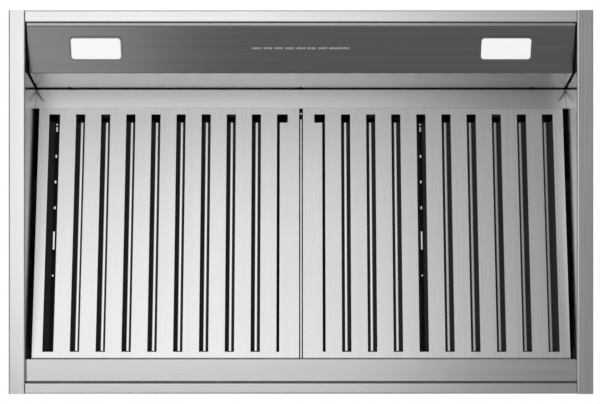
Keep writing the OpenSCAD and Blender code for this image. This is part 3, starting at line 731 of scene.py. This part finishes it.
SCREW = Coat("screw_steel", (0.50, 0.50, 0.51), 0.30, metallic=1.0,
             grain_per_m=900.0, mottle=0.08, bump_mm=0.02)
INK = Coat("legend_ink", (0.69, 0.69, 0.69), 0.55,
           grain_per_m=900.0, mottle=0.08, bump_mm=0.005)
FLOOR = Coat("studio_floor", (0.64, 0.64, 0.64), 0.85,
             grain_per_m=3.0, mottle=0.02, bump_mm=0.01)
LENS = Frosted("lens_glow", (0.86, 0.87, 0.88), level=0.45)


class Bench:
    """Steps of modelling by hand that every piece uses."""

    @staticmethod
    def clear() -> None:
        """Deselects everything in object mode."""
        bpy.ops.object.select_all(action="DESELECT")

    @staticmethod
    def pick(piece: bpy.types.Object, wanted: Callable[[bpy.types.MeshPolygon], bool]) -> None:
        """Selects faces and leaves the piece in edit mode.

        Args:
            piece: The active piece, in edit mode.
            wanted: Tells whether a face is taken.
        """
        bpy.ops.mesh.select_mode(type="FACE")
        bpy.ops.mesh.select_all(action="DESELECT")
        bpy.ops.object.mode_set(mode="OBJECT")
        for face in piece.data.polygons:
            face.select = wanted(face)
        bpy.ops.object.mode_set(mode="EDIT")

    @staticmethod
    def settle(pieces: list[bpy.types.Object]) -> None:
        """Applies the place, turn and scale of pieces to their meshes.

        Args:
            pieces: The pieces.
        """
        Bench.clear()
        for piece in pieces:
            piece.select_set(True)
        bpy.context.view_layer.objects.active = pieces[0]
        bpy.ops.object.transform_apply(location=True, rotation=True, scale=True)

    @staticmethod
    def copy(piece: bpy.types.Object, name: str) -> bpy.types.Object:
        """Copies a piece with its own mesh.

        Args:
            piece: The piece.
            name: Name of the copy.

        Returns:
            The copy.
        """
        twin = piece.copy()
        twin.data = piece.data.copy()
        twin.name = twin.data.name = name
        bpy.context.scene.collection.objects.link(twin)
        return twin

    @staticmethod
    def place(piece: bpy.types.Object, at: Triple, turn: float) -> None:
        """Moves a flat piece onto a slope and applies its place.

        Args:
            piece: The piece.
            at: Where its origin goes, in metres.
            turn: Angle about X in radians.
        """
        piece.rotation_euler = Euler((turn, 0.0, 0.0))
        piece.location = at
        Bench.settle([piece])


@dataclass
class SubAssembly:
    """CAD nodes that belong together, with the pieces that are added to them."""

    title: ClassVar[str] = ""
    finishes: ClassVar[dict[str, Finish]] = {}

    def build(self, finisher: Finisher) -> list[bpy.types.Object]:
        """Models the pieces that the CAD doesn't hold.

        Args:
            finisher: Gives the materials.

        Returns:
            The new pieces. Here there are none.
        """
        return []

    def dress(self, nodes: dict[str, bpy.types.Object], finisher: Finisher) -> int:
        """Gives the sub-assembly's CAD nodes their materials.

        Args:
            nodes: All CAD nodes by name.
            finisher: Gives the materials.

        Returns:
            How many nodes were dressed.
        """
        for name, finish in self.finishes.items():
            nodes[name].data.materials.clear()
            nodes[name].data.materials.append(finisher.get(finish))
            LOG.info("%s: %s in %s", self.title, name, finish.name)
        return len(self.finishes)


@dataclass
class Canopy(SubAssembly):
    """The folded outer shell."""

    title: ClassVar[str] = "canopy"
    finishes: ClassVar[dict[str, Finish]] = {
        "left_side_panel": SIDE_STEEL, "right_side_panel": SIDE_STEEL, "front_panel": FRONT_STEEL,
        "back_panel": SHEET_STEEL, "top_panel": SHEET_STEEL, "top_screws": SCREW,
    }


@dataclass
class Fascia(SubAssembly):
    """The slanted control panel with its row of touch marks.

    Attributes:
        slant_y: Y of the slant's front end, in millimetres as all sizes here.
        slant_z: Height of the slant's front end over the rim.
        slant_a: Angle of the slant's rise toward the rear, in degrees.
        row_back: Distance of the marks' row from the slant's front end, along it.
        marks: Limits of each mark across the hood.
        mark_h: Height of the row along the slant.
        tick_w: Width of one tick.
        tick_step: Distance between ticks.
        tick_t: Thickness of the print.
        short_every: One tick in so many is short.
        short_share: Height of a short tick as a share of a full one.
        edge_w: Width of the rounded edge of a tick.
        edge_h: Height that the edge gives its face.
    """

    title: ClassVar[str] = "fascia"
    finishes: ClassVar[dict[str, Finish]] = {
        "control_panel": FASCIA_STEEL, "panel_brackets": ZINC, "touch_board": CIRCUIT,
    }

    slant_y: float = -274.6
    slant_z: float = 2.3
    slant_a: float = 24.698
    row_back: float = 36.2
    marks: tuple[tuple[float, float], ...] = (
        (-77.0, -62.5), (-59.5, -45.0), (-42.0, -27.5), (-24.5, -10.5),
        (-7.5, 7.0), (9.5, 24.0), (27.5, 41.0), (43.5, 76.0),
    )
    mark_h: float = 3.4
    tick_w: float = 1.6
    tick_step: float = 2.3
    tick_t: float = 0.1
    short_every: int = 3
    short_share: float = 0.55
    edge_w: float = 0.12
    edge_h: float = 0.02

    def build(self, finisher: Finisher) -> list[bpy.types.Object]:
        """Models the touch marks, a generic row of ticks.

        Args:
            finisher: Gives the materials.

        Returns:
            The row of marks.
        """
        tick = self.tick()
        ticks = []
        for index, (left, right) in enumerate(self.marks):
            count = round((right - left) / self.tick_step)
            for place in range(count):
                short = (place + index) % self.short_every == 1
                part = Bench.copy(tick, f"mark_{index}_{place}")
                part.location.x = (left + (place + 0.5) * (right - left) / count) * MM
                part.scale.y = self.short_share if short else 1.0
                ticks.append(part)
        bpy.data.objects.remove(tick)
        Bench.settle(ticks)
        bpy.ops.object.join()
        row = bpy.context.object
        row.name = row.data.name = "legend_marks"
        slant = math.radians(self.slant_a)
        row_y = self.slant_y + self.row_back * math.cos(slant)
        row_z = self.slant_z + self.row_back * math.sin(slant)
        Bench.place(row, (0.0, row_y * MM, row_z * MM), slant)
        row.data.materials.append(finisher.get(INK))
        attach(row, "canopy")
        return [row]

    def tick(self) -> bpy.types.Object:
        """Models one tick, which hangs under the plane that it is printed on.

        Returns:
            The tick, at the origin.
        """
        Bench.clear()
        bpy.ops.mesh.primitive_cube_add(size=1.0, location=(0.0, 0.0, 0.0))
        tick = bpy.context.object
        tick.dimensions = (self.tick_w * MM, self.mark_h * MM, self.tick_t * MM)
        tick.location.z = -self.tick_t / 2 * MM
        Bench.settle([tick])
        bpy.ops.object.mode_set(mode="EDIT")
        Bench.pick(tick, lambda face: face.normal.z < -0.5)  # the face that looks down
        bpy.ops.mesh.inset(thickness=self.edge_w * MM, depth=self.edge_h * MM)
        bpy.ops.object.mode_set(mode="OBJECT")
        return tick


@dataclass
class LampPair(SubAssembly):
    """The two lamps in the control panel."""

    title: ClassVar[str] = "lamps"
    finishes: ClassVar[dict[str, Finish]] = {
        "lamp_lenses": LENS, "lamp_bezels": BEZEL, "lamp_housings": ZINC, "lamp_boards": LAMP_BOARD,
    }


@dataclass
class FilterBay(SubAssembly):
    """What carries the filters."""

    title: ClassVar[str] = "filter bay"
    finishes: ClassVar[dict[str, Finish]] = {
        "ledge_plate": LEDGE_STEEL, "centre_divider": DIVIDER_STEEL, "filter_hangers": OXIDE,
        "filter_catches": BLUED,
    }


@dataclass
class FilterPair(SubAssembly):
    """The two baffle filters, with a dark strip of painted shade in one slot of each, where that
    slot shows dark.

    Attributes:
        slot_mids: Middle of the strip's slot on each side, in millimetres as all sizes here.
        web_start: Front end of the baffles along the slope.
        web_end: Their rear end.
        web_under: Height of the webs' lower faces over the slope.
        strip_w: Width of a strip.
        strip_t: Its thickness.
        window_w: Width of its windows.
        windows: Limits of each window along the slope.
    """

    title: ClassVar[str] = "filters"
    finishes: ClassVar[dict[str, Finish]] = {
        "left_filter_pan": FILTER_STEEL, "right_filter_pan": FILTER_STEEL,
        "left_filter_baffles": BAFFLE_STEEL, "right_filter_baffles": BAFFLE_STEEL,
        "left_filter_rails": RAIL_STEEL, "right_filter_rails": RAIL_STEEL,
        "left_filter_pivots": OXIDE, "right_filter_pivots": OXIDE,
    }

    slot_mids: ClassVar[dict[Side, float]] = {Side.LEFT: 398.5, Side.RIGHT: 194.64}
    web_start: float = 50.6
    web_end: float = 426.7
    web_under: float = 22.9
    strip_w: float = 6.0
    strip_t: float = 0.3
    window_w: float = 2.6
    windows: tuple[tuple[float, float], ...] = (
        (52.5, 55.5), (58.0, 66.0), (105.0, 109.8), (147.9, 152.5), (191.0, 195.6),
        (232.5, 262.2), (303.6, 306.0),
    )

    def build(self, finisher: Finisher) -> list[bpy.types.Object]:
        """Models one strip and puts a copy into a slot of each filter.

        Args:
            finisher: Gives the materials.

        Returns:
            The strips.
        """
        pattern = self.strip()
        strips = []
        for side, mid in self.slot_mids.items():
            strip = Bench.copy(pattern, f"{side.word}_slot_strip")
            at = (side.value * mid * MM, SLOPE.front_y * MM, SLOPE.front_z * MM)
            Bench.place(strip, at, -math.radians(SLOPE.fall))
            # The strip's dark colour is painted shade.
            strip.data.materials.append(finisher.get(SLOT_SHADE_SHEET))
            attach(strip, f"{side.word}_filter")
            strips.append(strip)
        bpy.data.objects.remove(pattern)
        return strips

    def strip(self) -> bpy.types.Object:
        """Models a strip with its windows, flat and with the slope's start as its origin.

        Returns:
            The strip.
        """
        Bench.clear()
        middle = (self.web_start + self.web_end) / 2 * MM
        face = (self.web_under - self.strip_t) * MM
        bpy.ops.mesh.primitive_plane_add(size=1.0, location=(0.0, middle, face))
        strip = bpy.context.object
        strip.scale = (self.strip_w * MM, (self.web_end - self.web_start) * MM, 1.0)
        Bench.settle([strip])
        bpy.ops.object.mode_set(mode="EDIT")
        half = self.window_w / 2 * MM
        cuts = [((x, 0.0, 0.0), Axis.X.value) for x in (-half, half)]
        cuts += [((0.0, y * MM, 0.0), Axis.Y.value) for window in self.windows for y in window]
        for point, normal in cuts:
            bpy.ops.mesh.select_all(action="SELECT")
            bpy.ops.mesh.bisect(plane_co=point, plane_no=normal)
        Bench.pick(strip, self.in_window)
        bpy.ops.mesh.delete(type="FACE")
        bpy.ops.mesh.select_all(action="SELECT")
        bpy.ops.mesh.normals_make_consistent(inside=False)
        bpy.ops.object.mode_set(mode="OBJECT")
        wall = strip.modifiers.new("wall", "SOLIDIFY")
        wall.thickness = self.strip_t * MM
        wall.offset = 1.0 if strip.data.polygons[0].normal.z > 0 else -1.0
        bpy.ops.object.modifier_apply(modifier=wall.name)
        return strip

    def in_window(self, face: bpy.types.MeshPolygon) -> bool:
        """Tells whether a face of the flat strip lies in a window.

        Args:
            face: The face.

        Returns:
            True in a window.
        """
        along = face.center.y / MM
        inside = any(low < along < high for low, high in self.windows)
        return inside and abs(face.center.x) < self.window_w / 2 * MM


@dataclass
class GreaseTrough(SubAssembly):
    """The grease tray and its clips."""

    title: ClassVar[str] = "grease tray"
    finishes: ClassVar[dict[str, Finish]] = {"grease_tray": TRAY_STEEL, "tray_clips": SPRING}


@dataclass
class Blower(SubAssembly):
    """The twin-inlet blower."""

    title: ClassVar[str] = "blower"
    finishes: ClassVar[dict[str, Finish]] = {
        "blower_scroll": GALVANISED, "blower_side_left": GALVANISED,
        "blower_side_right": GALVANISED, "blower_screws": SCREW, "impeller": WHEEL,
        "motor": MOTOR_PAINT, "motor_bracket": ZINC, "motor_mounts": RUBBER,
    }


@dataclass
class DuctOutlet(SubAssembly):
    """The duct collar with its two flaps."""

    title: ClassVar[str] = "duct outlet"
    finishes: ClassVar[dict[str, Finish]] = {
        "duct_collar": GALVANISED, "damper_pin": PIN, "left_damper": FLAP, "right_damper": FLAP,
        "collar_screws": SCREW,
    }


@dataclass
class Wiring(SubAssembly):
    """The wiring box with what it holds."""

    title: ClassVar[str] = "wiring"
    finishes: ClassVar[dict[str, Finish]] = {
        "wiring_box": ZINC, "wiring_cover": ZINC, "run_capacitor": BLACK_PLASTIC,
        "lamp_driver": WHITE_PLASTIC, "cable_clamp": BLACK_PLASTIC, "cover_screws": SCREW,
    }


@dataclass(frozen=True)
class Softbox:
    """One area lamp.

    Attributes:
        name: Object name.
        place: Position in metres.
        target: Point that the lamp faces.
        size: Width and length in metres.
        power: Watts.
    """

    name: str
    place: Triple
    target: Triple
    size: tuple[float, float]
    power: float


@dataclass
class Studio:
    """Camera, lamps, floor and world.

    Attributes:
        distance: Metres from the camera up to the rim plane.
        view_width: Width of the rim plane that fills the frame, in metres.
        shift_px: Offset of the hood's middle from the frame's middle, in photo pixels.
        photo_w: Width of the photograph in pixels.
        sensor: Sensor width in millimetres.
        reach: How far the camera sees, in metres.
        floor_size: Side of the floor in metres.
        floor_z: Its height in metres.
        floor_t: Its thickness in metres.
        world_level: Strength of the world on matt surfaces. To the camera and to gloss it is 1.
        softboxes: The lamps.
    """

    distance: float = 3.0
    view_width: float = 0.9375
    shift_px: tuple[float, float] = (1.0, 0.0)
    photo_w: float = 600.0
    sensor: float = 36.0
    reach: float = 500.0
    floor_size: float = 400.0
    floor_z: float = -9.0
    floor_t: float = 0.05
    world_level: float = 0.5
    softboxes: tuple[Softbox, ...] = (
        Softbox("key_below", (-0.665, -0.615, -3.10), (-0.665, -0.615, 0.0), (2.17, 2.53), 25.0),
        Softbox("rear_left_below", (-1.9, 3.0, -3.10), (-1.9, 3.0, 0.0), (2.6, 2.2), 15.0),
        Softbox("front_above", (-1.2, -3.0, 1.0), (0.0, 0.0, 0.25), (2.4, 2.4), 9.0),
        Softbox("back_above", (1.6, 1.8, 2.6), (0.0, 0.0, 0.25), (2.4, 2.4), 12.0),
    )

    def camera(self) -> None:
        """Places the camera straight below the hood with the front at the top of the frame."""
        data = bpy.data.cameras.new("photo_camera")
        data.sensor_fit = "HORIZONTAL"
        data.sensor_width = self.sensor
        data.lens = self.sensor * self.distance / self.view_width
        data.shift_x = -self.shift_px[0] / self.photo_w
        data.shift_y = self.shift_px[1] / self.photo_w
        data.clip_end = self.reach
        camera = bpy.data.objects.new("photo_camera", data)
        camera.location = (0.0, 0.0, -self.distance)
        camera.rotation_euler = (math.pi, 0.0, 0.0)
        bpy.context.scene.collection.objects.link(camera)
        bpy.context.scene.camera = camera

    def lamps(self) -> None:
        """Adds the soft area lamps."""
        for box in self.softboxes:
            data = bpy.data.lights.new(box.name, "AREA")
            data.shape = "RECTANGLE"
            data.size, data.size_y = box.size
            data.energy = box.power
            lamp = bpy.data.objects.new(box.name, data)
            place = Vector(box.place)
            lamp.location = place
            lamp.rotation_euler = (Vector(box.target) - place).to_track_quat("-Z", "Y").to_euler()
            lamp.visible_camera = False
            bpy.context.scene.collection.objects.link(lamp)

    def world(self) -> None:
        """Makes the world white to the camera and to gloss, and a plain level to the rest."""
        world = bpy.data.worlds.new("studio_world")
        bpy.context.scene.world = world
        world.use_nodes = True
        tree = world.node_tree
        tree.nodes.clear()
        output = tree.nodes.new("ShaderNodeOutputWorld")
        background = tree.nodes.new("ShaderNodeBackground")
        background.inputs["Color"].default_value = (1.0, 1.0, 1.0, 1.0)
        path = tree.nodes.new("ShaderNodeLightPath")
        level = tree.nodes.new("ShaderNodeMapRange")
        level.inputs["To Min"].default_value = self.world_level
        level.inputs["To Max"].default_value = 1.0
        seen = path.outputs["Is Camera Ray"]
        for kind in ("Is Glossy Ray", "Is Transmission Ray"):
            either = tree.nodes.new("ShaderNodeMath")
            either.operation = "MAXIMUM"
            tree.links.new(seen, either.inputs[0])
            tree.links.new(path.outputs[kind], either.inputs[1])
            seen = either.outputs[0]
        tree.links.new(seen, level.inputs["Value"])
        tree.links.new(level.outputs["Result"], background.inputs["Strength"])
        tree.links.new(background.outputs[0], output.inputs[0])
        bpy.context.scene.view_settings.view_transform = "Standard"

    def floor(self, finisher: Finisher) -> None:
        """Adds the pale floor as a thin slab, well below the camera.

        Args:
            finisher: Gives its material.
        """
        Bench.clear()
        bpy.ops.mesh.primitive_plane_add(size=self.floor_size, location=(0.0, 0.0, self.floor_z))
        slab = bpy.context.object
        slab.name = "studio_floor"
        bpy.ops.object.mode_set(mode="EDIT")
        down = {"value": (0.0, 0.0, -self.floor_t)}
        bpy.ops.mesh.extrude_region_move(TRANSFORM_OT_translate=down)
        bpy.ops.mesh.select_all(action="SELECT")
        bpy.ops.mesh.normals_make_consistent(inside=False)
        bpy.ops.object.mode_set(mode="OBJECT")
        Bench.settle([slab])
        slab.data.materials.append(finisher.get(FLOOR))


def main() -> None:
    """Builds the whole scene."""
    logging.basicConfig(level=logging.INFO)
    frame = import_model()
    studio = Studio()
    studio.camera()
    finisher = Finisher()
    dressed = 0
    for group in (Canopy(), Fascia(), LampPair(), FilterBay(), FilterPair(), GreaseTrough(),
                  Blower(), DuctOutlet(), Wiring()):
        dressed += group.dress(frame["nodes"], finisher)
        for piece in group.build(finisher):
            LOG.info("%s: added %s, %d faces", group.title, piece.name, len(piece.data.polygons))
    LOG.info("%d of %d nodes dressed", dressed, len(frame["nodes"]))
    studio.floor(finisher)
    studio.lamps()
    studio.world()


if __name__ == "__main__":
    main()
